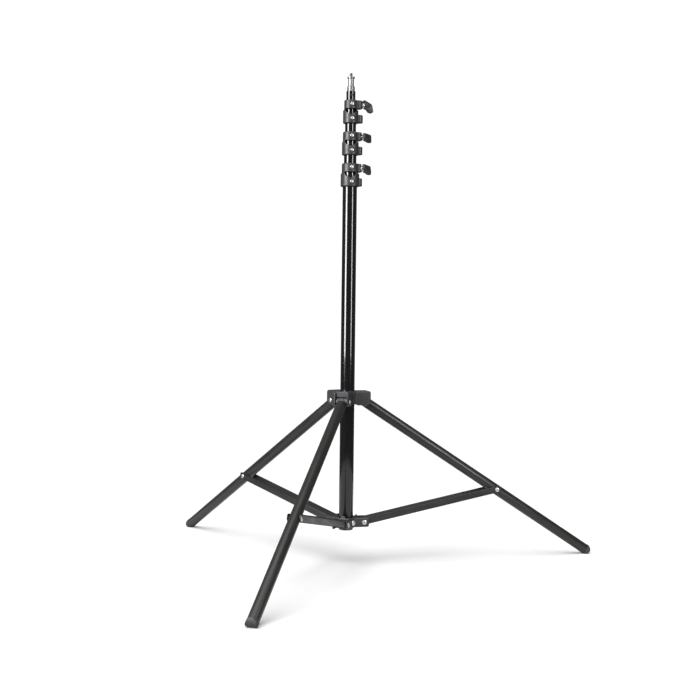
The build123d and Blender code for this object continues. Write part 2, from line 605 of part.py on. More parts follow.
def spigot():
    """The turned 16 mm spigot: shank, base, waist, flange and threaded tip."""
    z = TOP_TUBE_Z
    neck_low = z + SPIGOT_BASE_H
    flange_low = neck_low + SPIGOT_NECK_H
    tip_low = flange_low + SPIGOT_FLANGE_H
    body = rod_along_z(RISER_R[2] - RISER_WALL - FIT, z - SPIGOT_SHANK, z)
    base = rod_along_z(SPIGOT_R, z, neck_low)
    body += chamfer(base.edges().group_by(Axis.Z)[-1], 0.8)
    body += rod_along_z(SPIGOT_NECK_R, neck_low, flange_low)
    flange = rod_along_z(SPIGOT_R, flange_low, tip_low)
    body += chamfer(flange.edges().filter_by(GeomType.CIRCLE), 0.6)
    tip = rod_along_z(SPIGOT_THREAD_R, tip_low, tip_low + SPIGOT_THREAD_H)
    body += chamfer(tip.edges().group_by(Axis.Z)[-1], 0.6)
    return body - radial_rod(SPIGOT_RIVET_R + FIT, 0, RISER_R[2] + 1, z - SPIGOT_RIVET_DOWN, -90)


def spigot_rivet():
    """The small rivet that holds the spigot in the top riser."""
    z = TOP_TUBE_Z - SPIGOT_RIVET_DOWN
    shank = cross_rod(SPIGOT_RIVET_R, -RISER_R[2], -2.0, z=z)
    return shank + cross_head(2.4, -0.9, -RISER_R[2], z=z)


def main():
    """Build every piece in its place and write one STEP file for each node."""
    pieces = {
        "column_tube": column_tube(),
        "column_plug": column_plug(),
        "spigot": spigot(),
        "spigot_rivet": spigot_rivet(),
        "hub": hub(),
        "hub_pins": hub_pins(),
        "hub_screw": hub_screw(),
        "leg_collar": leg_collar(),
        "leg_pins": leg_pins(),
        "leg_collar_nut": lock_nut(),
        "leg_collar_shoe": lock_shoe(),
    }
    lock_z = LEG_PIVOT_Z + COLLAR_LOCK_UP
    lock_turn = Rot(0, 0, COLLAR_LOCK_AZ)
    pieces["leg_collar_lever"] = lock_turn * lever_handle(LOCK_SEAT, lock_z, 0)
    pieces["leg_collar_spacer"] = lock_turn * lever_spacer(LOCK_SEAT, lock_z)
    pieces["leg_collar_screw"] = lock_turn * lever_screw(COLUMN_R + SHOE_T + 0.1, LOCK_SEAT, lock_z)
    for n in range(3):
        name = f"collar_{n + 1}"
        lift = Pos(0, 0, CLAMP_BOTTOM[n])
        tip = RISER_R[n] + SHOE_T + 0.1
        pieces[f"riser_{n + 1}_tube"] = riser_tube(n)
        pieces[f"riser_{n + 1}_guide"] = riser_guide(n)
        pieces[f"{name}_casting"] = lift * clamp_casting(n)
        pieces[f"{name}_front_screws"] = lift * clamp_screws(n)
        pieces[f"{name}_nut"] = lift * clamp_nut(n)
        pieces[f"{name}_shoe"] = lift * clamp_shoe(n)
        pieces[f"{name}_lever"] = lift * lever_handle(BOSS_REACH, LEVER_AXIS_UP, LEVER_TURN[n])
        pieces[f"{name}_spacer"] = lift * lever_spacer(BOSS_REACH, LEVER_AXIS_UP)
        pieces[f"{name}_lever_screw"] = lift * lever_screw(tip, BOSS_REACH, LEVER_AXIS_UP)
    for part_name, piece in (("leg_{}_tube", leg_tube()), ("leg_{}_knuckle", leg_knuckle()),
                             ("leg_{}_bush", leg_bush()), ("leg_{}_foot", leg_foot()),
                             ("brace_{}_channel", brace_channel()), ("brace_{}_rivets", brace_rivets())):
        for i, copy in enumerate(at_each_leg(piece)):
            pieces[part_name.format(i + 1)] = copy
    os.makedirs("parts", exist_ok=True)
    for name, piece in pieces.items():
        export_step(piece, f"parts/{name}.step")
    print("nodes", len(pieces))
    print("leg tilt", round(LEG_TILT, 4), "folded", round(FOLDED_LEG_TILT, 4), "length", round(LEG_LENGTH, 3))
    print("brace tilt", round(BRACE_TILT, 4), "folded", FOLDED_BRACE_TILT, "length", round(BRACE_LENGTH, 3))
    print("collar travel", round(SLIDE_TRAVEL, 4))


main()
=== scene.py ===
"""Looks of a folding telescopic lighting stand. Metres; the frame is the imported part's own."""
import json
from math import asin, atan2, ceil, cos, hypot, pi, radians, sin, tau

import bmesh
import bpy
from mathutils import Matrix, Vector


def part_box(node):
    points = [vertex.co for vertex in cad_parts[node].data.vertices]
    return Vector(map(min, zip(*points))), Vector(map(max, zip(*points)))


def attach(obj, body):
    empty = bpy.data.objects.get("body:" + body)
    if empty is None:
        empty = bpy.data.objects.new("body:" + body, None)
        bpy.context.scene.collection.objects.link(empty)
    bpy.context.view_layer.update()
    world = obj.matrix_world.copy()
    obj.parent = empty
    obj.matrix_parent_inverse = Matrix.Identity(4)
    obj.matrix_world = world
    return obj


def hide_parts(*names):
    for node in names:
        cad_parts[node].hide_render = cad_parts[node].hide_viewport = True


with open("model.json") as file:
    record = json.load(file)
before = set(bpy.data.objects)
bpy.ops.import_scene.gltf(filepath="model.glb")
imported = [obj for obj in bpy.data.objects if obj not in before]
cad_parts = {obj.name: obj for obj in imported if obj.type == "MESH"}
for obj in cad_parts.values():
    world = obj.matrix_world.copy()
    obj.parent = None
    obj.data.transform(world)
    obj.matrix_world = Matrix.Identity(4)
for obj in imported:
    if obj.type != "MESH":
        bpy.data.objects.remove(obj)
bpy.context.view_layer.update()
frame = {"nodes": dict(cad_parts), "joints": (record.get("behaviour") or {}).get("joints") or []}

# ---------------------------------------------------------------------------------------------
# Column and risers. Four drawn aluminium tubes that slide in one another, anodised gloss black.
# Their ends are deburred to a small radius. Each riser leaves fine rub lines along its length.

TUBE_WALL = {"column_tube": 0.0015, "riser_1_tube": 0.0012, "riser_2_tube": 0.0012, "riser_3_tube": 0.0012}
TUBE_BODY = {"column_tube": "root", "riser_1_tube": "riser_1",
             "riser_2_tube": "riser_2", "riser_3_tube": "riser_3"}
TUBE_LIP = 0.0003
TUBE_COLOUR = (0.0022, 0.0023, 0.0027)
TUBE_COLOUR_RUBBED = (0.0042, 0.0043, 0.0048)


def spun(outline, steps=96, closed=True):
    """A solid of revolution about Z, from an outline of (radius, height) points."""
    bm = bmesh.new()
    ring = [bm.verts.new((r, 0, z)) for r, z in outline]
    pairs = list(zip(ring, ring[1:] + ring[:1])) if closed else list(zip(ring, ring[1:]))
    edges = [bm.edges.new(pair) for pair in pairs]
    bmesh.ops.spin(bm, geom=ring + edges, cent=(0, 0, 0), axis=(0, 0, 1), dvec=(0, 0, 0), angle=tau,
                   steps=steps, use_merge=True, use_normal_flip=False, use_duplicate=False)
    bmesh.ops.remove_doubles(bm, verts=bm.verts, dist=1e-6)
    bmesh.ops.recalc_face_normals(bm, faces=bm.faces)
    return bm


def eased(bm, radius, segments=3, over=35):
    """Rounds every edge that is sharper than an angle."""
    sharp = [e for e in bm.edges if e.is_manifold and e.calc_face_angle(0) > radians(over)]
    bmesh.ops.bevel(bm, geom=sharp, offset=radius, offset_type="OFFSET", segments=segments,
                    profile=0.5, affect="EDGES", clamp_overlap=True, material=-1)
    return bm


def fitted(name, bm, material, body, slot, *nodes):
    """Turns a finished bmesh into a piece that rides on a body and stands for CAD nodes."""
    mesh = bpy.data.meshes.new(name)
    bm.to_mesh(mesh)
    bm.free()
    mesh.materials.append(material)
    mesh.shade_smooth()
    mesh.set_sharp_from_angle(angle=radians(40))
    piece = bpy.data.objects.new(name, mesh)
    bpy.context.scene.collection.objects.link(piece)
    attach(piece, body)
    if nodes:
        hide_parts(*nodes)
    return piece


def finish(name, colour, roughness, metallic=0.0, coat=0.0, specular=0.5):
    """A material with its constants on the shader's own sockets."""
    material = bpy.data.materials.new(name)
    material.use_nodes = True
    shader = material.node_tree.nodes["Principled BSDF"]
    shader.inputs["Base Color"].default_value = (*colour, 1)
    shader.inputs["Roughness"].default_value = roughness
    shader.inputs["Metallic"].default_value = metallic
    shader.inputs["Coat Weight"].default_value = coat
    shader.inputs["Coat Roughness"].default_value = 0.08
    shader.inputs["Specular IOR Level"].default_value = specular
    return material


def grain(material, size, turn=(0, 0, 0), detail=3.0, contrast=0.5):
    """A noise whose marks have a size in metres along three turned axes; gives its value."""
    nodes, links = material.node_tree.nodes, material.node_tree.links
    place = nodes.new("ShaderNodeTexCoord")
    mapping = nodes.new("ShaderNodeMapping")
    mapping.vector_type = "TEXTURE"
    mapping.inputs["Rotation"].default_value = turn
    mapping.inputs["Scale"].default_value = size
    noise = nodes.new("ShaderNodeTexNoise")
    noise.inputs["Scale"].default_value = 1.0
    noise.inputs["Detail"].default_value = detail
    noise.inputs["Roughness"].default_value = contrast
    links.new(place.outputs["Object"], mapping.inputs["Vector"])
    links.new(mapping.outputs["Vector"], noise.inputs["Vector"])
    return noise.outputs["Fac"]


def spread(material, value, socket, low, high, start=0.35, end=0.65):
    """Lets a pattern move one of the shader's values between two ends."""
    nodes, links = material.node_tree.nodes, material.node_tree.links
    span = nodes.new("ShaderNodeMapRange")
    span.inputs["From Min"].default_value = start
    span.inputs["From Max"].default_value = end
    span.inputs["To Min"].default_value = low
    span.inputs["To Max"].default_value = high
    links.new(value, span.inputs["Value"])
    links.new(span.outputs["Result"], nodes["Principled BSDF"].inputs[socket])


def tinted(material, value, first, second, start=0.35, end=0.65):
    """Mixes a second colour into the base colour where a pattern is high."""
    nodes, links = material.node_tree.nodes, material.node_tree.links
    span = nodes.new("ShaderNodeMapRange")
    span.inputs["From Min"].default_value = start
    span.inputs["From Max"].default_value = end
    mix = nodes.new("ShaderNodeMix")
    mix.data_type = "RGBA"
    mix.inputs[6].default_value = (*first, 1)
    mix.inputs[7].default_value = (*second, 1)
    base = nodes["Principled BSDF"].inputs["Base Color"]
    if base.is_linked:
        links.new(base.links[0].from_socket, mix.inputs[6])
    links.new(value, span.inputs["Value"])
    links.new(span.outputs["Result"], mix.inputs[0])
    links.new(mix.outputs[2], base)


def relief(material, value, depth):
    """Adds a pattern's height, in metres, to the surface."""
    nodes, links = material.node_tree.nodes, material.node_tree.links
    bump = nodes.new("ShaderNodeBump")
    bump.inputs["Strength"].default_value = 1.0
    bump.inputs["Distance"].default_value = depth
    normal = nodes["Principled BSDF"].inputs["Normal"]
    if normal.is_linked:
        links.new(normal.links[0].from_socket, bump.inputs["Normal"])
    links.new(value, bump.inputs["Height"])
    links.new(bump.outputs["Normal"], normal)


def dress(material, *nodes):
    """Gives CAD nodes that stay in view a material."""
    for node in nodes:
        for place in frame["nodes"][node].material_slots:
            place.material = material


gloss_black = finish("gloss_black_anodised", TUBE_COLOUR, 0.12, specular=0.5)
spread(gloss_black, grain(gloss_black, (0.012, 0.012, 0.05)), "Roughness", 0.08, 0.15)
rub_lines = grain(gloss_black, (0.0006, 0.0006, 0.09), detail=2)
tinted(gloss_black, rub_lines, TUBE_COLOUR, TUBE_COLOUR_RUBBED, 0.52, 0.8)
for node, body in TUBE_BODY.items():
    low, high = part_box(node)
    outer, inner = high.x, high.x - TUBE_WALL[node]
    tube = spun([(inner, low.z), (outer, low.z), (outer, high.z), (inner, high.z)], steps=128)
    fitted(node + "_drawn", eased(tube, TUBE_LIP), gloss_black, body, "column_black", node)

# ---------------------------------------------------------------------------------------------
# Guide bushes and column plug. Natural nylon rings run inside the next tube out, and a black
# moulded plug closes the column's foot. They are turned or moulded, and pressed in.

NYLON_COLOUR = (0.72, 0.70, 0.64)
PLUG_COLOUR = (0.03, 0.03, 0.033)

nylon = finish("natural_nylon", NYLON_COLOUR, 0.42)
tinted(nylon, grain(nylon, (0.004, 0.004, 0.004)), NYLON_COLOUR, (0.60, 0.57, 0.50))
relief(nylon, grain(nylon, (0.0004, 0.0004, 0.0004)), 0.00002)
black_moulding = finish("black_moulding", PLUG_COLOUR, 0.5)
tinted(black_moulding, grain(black_moulding, (0.006, 0.006, 0.006)), PLUG_COLOUR, (0.042, 0.042, 0.046))
spread(black_moulding, grain(black_moulding, (0.003, 0.003, 0.003)), "Roughness", 0.42, 0.58)
relief(black_moulding, grain(black_moulding, (0.0003, 0.0003, 0.0003)), 0.00002)
dress(nylon, "riser_1_guide", "riser_2_guide", "riser_3_guide", "leg_collar_shoe",
      "collar_1_shoe", "collar_2_shoe", "collar_3_shoe")
dress(black_moulding, "column_plug")

# ---------------------------------------------------------------------------------------------
# Hub, leg collar and clamp collars. Glass-filled nylon mouldings, dark grey with a fine spark
# grain, drafted and radiused, with edges that handling has polished.

MOULD_COLOUR = (0.0155, 0.0158, 0.0172)
MOULD_DUSTY = (0.020, 0.0204, 0.0222)
MOULD_WORN = (0.06, 0.061, 0.064)
MOULD_SMALL_VOXEL = 0.0004
MOULD_LARGE_VOXEL = 0.00055
SKIN_ROUNDS = 4
MOULDINGS = (("hub", "root", MOULD_LARGE_VOXEL), ("leg_collar", "leg_collar", MOULD_LARGE_VOXEL),
             ("collar_1_casting", "root", MOULD_SMALL_VOXEL),
             ("collar_2_casting", "riser_1", MOULD_SMALL_VOXEL),
             ("collar_3_casting", "riser_2", MOULD_SMALL_VOXEL))


def copied(node):
    """A merged copy of a CAD node's mesh."""
    bm = bmesh.new()
    bm.from_mesh(frame["nodes"][node].data)
    bmesh.ops.remove_doubles(bm, verts=bm.verts, dist=2e-6)
    return bm


def skinned(bm, voxel, rounds):
    """Joins a bmesh's shells into one skin of small faces and rounds its edges."""
    mesh = bpy.data.meshes.new("skin")
    bm.to_mesh(mesh)
    bm.free()
    blank = bpy.data.objects.new("skin", mesh)
    bpy.context.scene.collection.objects.link(blank)
    skin = blank.modifiers.new("skin", "REMESH")
    skin.mode = "VOXEL"
    skin.voxel_size = voxel
    soft = blank.modifiers.new("soft", "SMOOTH")
    soft.factor = 0.5
    soft.iterations = rounds
    bpy.context.view_layer.update()
    done = bpy.data.meshes.new_from_object(blank.evaluated_get(bpy.context.evaluated_depsgraph_get()))
    bm = bmesh.new()
    bm.from_mesh(done)
    bpy.data.objects.remove(blank)
    bpy.data.meshes.remove(mesh)
    bpy.data.meshes.remove(done)
    return bm


def edge_wear(material, worn, start=0.53, end=0.62):
    """Mixes a worn colour in along the outer edges."""
    shape = material.node_tree.nodes.new("ShaderNodeNewGeometry")
    tinted(material, shape.outputs["Pointiness"], worn, worn, start, end)


grey_moulding = finish("grey_moulding", MOULD_COLOUR, 0.42, specular=0.38)
tinted(grey_moulding, grain(grey_moulding, (0.009, 0.009, 0.009)), MOULD_COLOUR, MOULD_DUSTY)
edge_wear(grey_moulding, MOULD_WORN)
spread(grey_moulding, grain(grey_moulding, (0.004, 0.004, 0.004)), "Roughness", 0.34, 0.48)
relief(grey_moulding, grain(grey_moulding, (0.00035, 0.00035, 0.00035), detail=1), 0.000012)
for node, body, voxel in MOULDINGS:
    skin = skinned(copied(node), voxel, SKIN_ROUNDS)
    fitted(node + "_moulded", skin, grey_moulding, body, "cast_grey", node)

# ---------------------------------------------------------------------------------------------
# Pins, rivets and screws. Bright zinc-plated steel. The pins carry the braces and the legs, and
# are headed cold, so a head is a low dome; the screws have a hexagon socket.

STEEL_COLOUR = (0.47, 0.468, 0.46)
FASTENER_STEPS = 48
DOME_STEPS = 7
DIMPLE = 0.26
SOCKET_R = 0.0012
SOCKET_DEPTH = 0.0007


def dome(radius, height, base, way=1):
    """Points of a low head from its dimpled middle to its rim, above or below a base."""
    dimple = radius * DIMPLE
    points = [(0, base + way * height * 0.3), (dimple * 0.7, base + way * height * 0.34)]
    start = asin(DIMPLE)
    for k in range(DOME_STEPS + 1):
        turn = start + (pi / 2 - start) * k / DOME_STEPS
        points.append((radius * sin(turn), base + way * height * cos(turn) ** 0.6))
    return points


def headed_pin(radius, head_radius, head_height, low, high, second_head):
    """A pin along Z with a domed head on top, and a second one below or a plain chamfer."""
    outline = dome(head_radius, head_height, high) + [(radius, high)]
    if second_head:
        outline += [(radius, low)] + dome(head_radius, head_height, low, -1)[::-1]
    else:
        outline += [(radius, low + radius * 0.2), (radius * 0.8, low), (0, low)]
    return spun(outline, FASTENER_STEPS, closed=False)


def socket_screw(radius, head_radius, head_height, low, seat):
    """A screw along Z with a pan head on a seat and a hexagon socket in it."""
    top = seat + head_height
    outline = [(0, top - SOCKET_DEPTH), (SOCKET_R, top - SOCKET_DEPTH), (SOCKET_R, top),
               (head_radius * 0.66, top), (head_radius * 0.86, top - head_height * 0.16),
               (head_radius * 0.97, top - head_height * 0.45), (head_radius, seat), (radius, seat),
               (radius, low), (0, low)]
    bm = spun(outline, FASTENER_STEPS, closed=False)
    for vert in bm.verts:
        across = hypot(vert.co.x, vert.co.y)
        if vert.co.z > seat and abs(across - SOCKET_R) < SOCKET_R * 0.1:
            corner = (atan2(vert.co.y, vert.co.x) % (pi / 3)) - pi / 6
            vert.co.xy /= cos(corner)
    return bm


def aimed(origin, way, across=(0, 1, 0)):
    """The matrix that stands local Z along a direction, with local X across it."""
    z = Vector(way).normalized()
    x = Vector(across).normalized()
    return Matrix.Translation(origin) @ Matrix((x, z.cross(x), z)).transposed().to_4x4()


def joined(parts):
    """One bmesh from several."""
    whole = bmesh.new()
    for part in parts:
        mesh = bpy.data.meshes.new("part")
        part.to_mesh(mesh)
        part.free()
        whole.from_mesh(mesh)
        bpy.data.meshes.remove(mesh)
    return whole


def placed(bm, matrix):
    """Moves a bmesh to its place."""
    bm.transform(matrix)
    return bm


plated_steel = finish("plated_steel", STEEL_COLOUR, 0.34, metallic=1.0)
tinted(plated_steel, grain(plated_steel, (0.003, 0.003, 0.003)), STEEL_COLOUR, (0.55, 0.545, 0.53))
spread(plated_steel, grain(plated_steel, (0.0012, 0.0012, 0.0012)), "Roughness", 0.28, 0.42)
relief(plated_steel, grain(plated_steel, (0.0005, 0.0005, 0.0005)), 0.000008)

PIN_R = 0.003
HUB_EAR_HALF = 0.0165
HUB_HEAD = (0.005, 0.0018)
LEG_PIN_HALF = (0.0147, 0.0163)
LEG_HEAD = (0.0045, 0.0018)
LEGS = range(3)
joints = {joint["name"]: joint for joint in frame["joints"]}
hub_pins, leg_pins = [], []
for i in LEGS:
    spot, axis = (joints[f"brace_{i + 1}_hinge"][key] for key in ("pos_m", "axis"))
    stand = Matrix.Translation(spot) @ Vector(axis).to_track_quat("Z", "Y").to_matrix().to_4x4()
    hub_pins.append(placed(headed_pin(PIN_R, *HUB_HEAD, -HUB_EAR_HALF, HUB_EAR_HALF, True), stand))
    spot, axis = (joints[f"leg_{i + 1}_hinge"][key] for key in ("pos_m", "axis"))
    stand = Matrix.Translation(spot) @ Vector(axis).to_track_quat("Z", "Y").to_matrix().to_4x4()
    leg_pins.append(placed(headed_pin(PIN_R, *LEG_HEAD, -LEG_PIN_HALF[0], LEG_PIN_HALF[1], False), stand))
fitted("hub_pins_headed", joined(hub_pins), plated_steel, "root", "bright_steel", "hub_pins")
fitted("leg_pins_headed", joined(leg_pins), plated_steel, "leg_collar", "bright_steel", "leg_pins")

HUB_SCREW_AZIMUTH = radians(-60)
HUB_SCREW = (0.0025, 0.0055, 0.002, 0.0135, 0.0228)
outwards = Matrix.Rotation(HUB_SCREW_AZIMUTH, 4, "Z")
hub_height = joints["brace_1_hinge"]["pos_m"][2]
stand = outwards @ aimed((0, 0, hub_height), (1, 0, 0))
fitted("hub_screw_socket", placed(socket_screw(*HUB_SCREW), stand), plated_steel,
       "root", "bright_steel", "hub_screw")

# ---------------------------------------------------------------------------------------------
# Legs. Drawn aluminium tubes, coated satin black, on a moulded knuckle that turns on the leg pin.
# A steel bush crosses each tube where the brace holds it, and a rounded foot plugs its end.

LEG_R = 0.011
LEG_WALL = 0.0012
LEG_START = 0.0096
LEG_END = (0.5436, 0, 0.0116)
FOOT_RIM_AT = 0.003
FOOT_ROUNDS = 5
BRACE_AT = 0.3558
LEG_COLOUR = (0.0105, 0.0105, 0.0099)
LEG_RUBBED = (0.016, 0.016, 0.0152)
FOOT_COLOUR = (0.014, 0.014, 0.015)

leg_pivot = Vector(joints["leg_1_hinge"]["pos_m"])
leg_way = (Vector(LEG_END) - leg_pivot).normalized()
leg_length = (Vector(LEG_END) - leg_pivot).length
tube_end = leg_length + FOOT_RIM_AT
leg_tilt = atan2(leg_way.x, -leg_way.z)


def satin_black(name, azimuth, tilt, colour, rubbed):
    """Satin coat with faint marks along a tube or channel that leans outwards at an azimuth."""
    material = finish(name, colour, 0.34, specular=0.33)
    turn = (Matrix.Rotation(azimuth, 3, "Z") @ Matrix.Rotation(tilt, 3, "Y")).to_euler()
    spread(material, grain(material, (0.01, 0.01, 0.05), turn), "Roughness", 0.27, 0.4)
    tinted(material, grain(material, (0.001, 0.001, 0.06), turn, detail=2), colour, rubbed, 0.5, 0.78)
    relief(material, grain(material, (0.00025, 0.00025, 0.0006), turn, detail=1), 0.000004)
    return material


foot_rubber = finish("foot_rubber", FOOT_COLOUR, 0.6, specular=0.35)
tinted(foot_rubber, grain(foot_rubber, (0.005, 0.005, 0.005)), FOOT_COLOUR, (0.026, 0.026, 0.027))
spread(foot_rubber, grain(foot_rubber, (0.002, 0.002, 0.002)), "Roughness", 0.5, 0.72)
relief(foot_rubber, grain(foot_rubber, (0.0004, 0.0004, 0.0004)), 0.00004)
for i in LEGS:
    azimuth = tau / 3 * i
    name = f"leg_{i + 1}"
    stand = Matrix.Rotation(azimuth, 4, "Z") @ aimed(leg_pivot, leg_way)
    tube = spun([(LEG_R - LEG_WALL, LEG_START), (LEG_R, LEG_START), (LEG_R, tube_end),
                 (LEG_R - LEG_WALL, tube_end)], steps=96)
    coat = satin_black(name + "_satin", azimuth, pi - leg_tilt, LEG_COLOUR, LEG_RUBBED)
    fitted(name + "_tube_drawn", placed(eased(tube, TUBE_LIP), stand), coat, name,
           "leg_black", name + "_tube")
    knuckle = skinned(copied(name + "_knuckle"), MOULD_SMALL_VOXEL, SKIN_ROUNDS)
    fitted(name + "_knuckle_moulded", knuckle, black_moulding, name, "lever_black", name + "_knuckle")
    foot = skinned(copied(name + "_foot"), MOULD_SMALL_VOXEL, FOOT_ROUNDS)
    fitted(name + "_foot_moulded", foot, foot_rubber, name, "foot_black", name + "_foot")
    dress(plated_steel, name + "_bush")

# ---------------------------------------------------------------------------------------------
# Braces. Channels pressed from steel sheet, coated satin black: a web on top, two flanges, ends
# rounded, and an open fork at the leg. A short rivet in each flange holds the leg's bush.

BRACE_COLOUR = (0.0115, 0.0116, 0.0116)
BRACE_RUBBED = (0.02, 0.0202, 0.0202)
BRACE_HALF = 0.0131
BRACE_SHEET = 0.0015
RIVET = (0.0025, 0.0047, 0.0018)

brace_pivot = Vector(joints["brace_1_hinge"]["pos_m"])
brace_end = leg_pivot + leg_way * BRACE_AT
brace_way = (brace_end - brace_pivot).normalized()
brace_tilt = atan2(brace_way.x, brace_way.z)
for i in LEGS:
    azimuth = tau / 3 * i
    name = f"brace_{i + 1}"
    coat = satin_black(name + "_satin", azimuth, brace_tilt, BRACE_COLOUR, BRACE_RUBBED)
    channel = copied(name + "_channel")
    bmesh.ops.dissolve_limit(channel, angle_limit=radians(0.5), use_dissolve_boundaries=False,
                             verts=channel.verts, edges=channel.edges, delimit=set())
    fitted(name + "_channel_pressed", channel, coat, name, "brace_grey", name + "_channel")
    rivets = []
    for way in (-1, 1):
        stand = Matrix.Rotation(azimuth, 4, "Z") @ aimed(brace_end, (0, way, 0), (1, 0, 0))
        rivets.append(placed(headed_pin(*RIVET, BRACE_HALF - BRACE_SHEET, BRACE_HALF, False), stand))
    fitted(name + "_rivets_headed", joined(rivets), plated_steel, name, "bright_steel", name + "_rivets")

# ---------------------------------------------------------------------------------------------
# Clamp screws and levers. Each collar has two socket screws in front, and a lever of black glass-
# filled nylon, moulded on a steel screw that presses a nylon shoe on the tube; a turned steel ring
# keeps the lever off the boss.

CLAMP_BODY = {1: "root", 2: "riser_1", 3: "riser_2"}
SLEEVE_R = {1: (0.0195, 0.0173), 2: (0.0175, 0.0158), 3: (0.016, 0.0138)}
SCREW_UP = (0.010, 0.040)
SCREW_HEADS = ((0.0034, 0.0014), (0.0038, 0.0014))
SCREW_SHANK = 0.0026
SCREW_R = 0.002
SCREW_SUNK = 0.0006
LEVER_TURN = {1: 64, 2: 73, 3: 0}
SPACER = (0.003, 0.006, 0.0003, 0.004)
LEVER_HALF = 0.0056
LEVER_OUTLINE = ((0.4, -6.2), (0.4, 6.8), (-3.4, 6.8), (-3.4, 9.8), (0.6, 11.2), (15, 3.4), (17.3, -1),
                 (19.5, -13), (15.5, -15), (8.6, -13), (5.8, -8.2))
LEVER_CORNER = 0.0011
LEVER_HUB = (0.0065, 0.009)
LEVER_RIM = 0.0016
LEVER_POCKET = 0.0011
LEVER_SKIN = 0.0003
RIB_WIDTH = 0.0012
RIB_INSET = 0.0004
RIBS = ((7.5, -0.5, 11.0), (11.0, -3.0, 13.0), (14.5, -6.0, 12.0))
LEVER_COLOUR = (0.011, 0.0112, 0.0122)
MM = 0.001

lever_moulding = finish("lever_moulding", LEVER_COLOUR, 0.36, specular=0.35)
tinted(lever_moulding, grain(lever_moulding, (0.006, 0.006, 0.006)), LEVER_COLOUR, (0.0155, 0.0158, 0.017))
edge_wear(lever_moulding, (0.045, 0.046, 0.049), 0.54, 0.66)
spread(lever_moulding, grain(lever_moulding, (0.003, 0.003, 0.003)), "Roughness", 0.3, 0.42)
relief(lever_moulding, grain(lever_moulding, (0.0003, 0.0003, 0.0003), detail=1), 0.000008)


def lever_arm():
    """The arm in its own plane: an outline drawn to a thickness, with a pocket in each side."""
    bm = bmesh.new()
    face = bm.faces.new([bm.verts.new((x * MM, -LEVER_HALF, z * MM)) for x, z in LEVER_OUTLINE])
    grown = bmesh.ops.extrude_face_region(bm, geom=[face])["geom"]
    bmesh.ops.translate(bm, verts=[v for v in grown if isinstance(v, bmesh.types.BMVert)],
                        vec=(0, 2 * LEVER_HALF, 0))
    bmesh.ops.holes_fill(bm, edges=bm.edges)
    bmesh.ops.recalc_face_normals(bm, faces=bm.faces)
    upright = [e for e in bm.edges if abs(e.verts[0].co.y - e.verts[1].co.y) > LEVER_HALF]
    bmesh.ops.bevel(bm, geom=upright, offset=LEVER_CORNER, offset_type="OFFSET", segments=4, profile=0.5,
                    affect="EDGES", clamp_overlap=True, material=-1)
    sides = [f for f in bm.faces if abs(f.normal.y) > 0.9]
    bmesh.ops.inset_individual(bm, faces=sides, thickness=LEVER_RIM, depth=-LEVER_POCKET)
    return bm


def lever():
    """The whole moulding: a round hub with a capped end, the arm, and ribs across its pockets."""
    hub_r, hub_l = LEVER_HUB
    hub = spun([(0, 0), (hub_r, 0), (hub_r, hub_l - 0.0008), (hub_r - 0.0008, hub_l),
                (hub_r * 0.55, hub_l), (hub_r * 0.5, hub_l - 0.0005), (0, hub_l - 0.0005)], 64, closed=False)
    hub.transform(aimed((0, 0, 0), (1, 0, 0)))
    parts = [hub, lever_arm()]
    for x, z, length in RIBS:
        rib = bmesh.new()
        bmesh.ops.create_cube(rib, size=1, matrix=Matrix.Translation((x * MM, 0, z * MM))
                              @ Matrix.Diagonal((RIB_WIDTH, 2 * (LEVER_HALF - RIB_INSET), length * MM, 1)))
        parts.append(rib)
    return joined(parts)


def lever_set(name, body, stand, collar):
    """A lever and its spacer ring, in a frame with X along the lever's screw."""
    low_r, high_r, start, end = SPACER
    ring = spun([(low_r, start), (high_r, start), (high_r, end), (low_r, end)], 64)
    eased(ring, 0.0004)
    fitted(name + "_spacer_turned", placed(ring, stand @ aimed((0, 0, 0), (1, 0, 0))), plated_steel, body,
           "bright_steel", collar + "_spacer")
    arm = placed(skinned(lever(), LEVER_SKIN, SKIN_ROUNDS), stand @ Matrix.Translation((end, 0, 0)))
    fitted(name + "_moulded", arm, lever_moulding, body, "lever_black", collar + "_lever")


for n in CLAMP_BODY:
    collar = f"collar_{n}"
    lower_r, upper_r = SLEEVE_R[n]
    clamp_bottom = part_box(collar + "_casting")[0].z
    screws = []
    for up, sleeve, head in zip(SCREW_UP, (lower_r, upper_r), SCREW_HEADS):
        stand = aimed((0, 0, clamp_bottom + up), (0, -1, 0), (1, 0, 0))
        seat = sleeve - SCREW_SUNK
        screws.append(placed(socket_screw(SCREW_R, *head, seat - SCREW_SHANK, seat), stand))
    fitted(collar + "_front_screws_socket", joined(screws), plated_steel, CLAMP_BODY[n], "bright_steel",
           collar + "_front_screws")
    joint = joints[f"lever_{n}_turn"]
    stand = Matrix.Translation(joint["pos_m"]) @ Matrix.Rotation(radians(LEVER_TURN[n]), 4, "X")
    lever_set(collar + "_lever", f"lever_{n}", stand, collar)
    dress(plated_steel, collar + "_nut", collar + "_lever_screw")
joint = joints["collar_lever_turn"]
azimuth = atan2(joint["axis"][1], joint["axis"][0])
lever_set("leg_collar_lever", "collar_lever", Matrix.Translation(joint["pos_m"])
          @ Matrix.Rotation(azimuth, 4, "Z"), "leg_collar")
dress(plated_steel, "leg_collar_nut", "leg_collar_screw")

# ---------------------------------------------------------------------------------------------
# Spigot. A 16 mm stud turned from steel bar: a shank in the top riser, a base, a waist for the
# lamp head's side screw, a flange, and a 1/4 inch thread. A small rivet holds it in the tube.

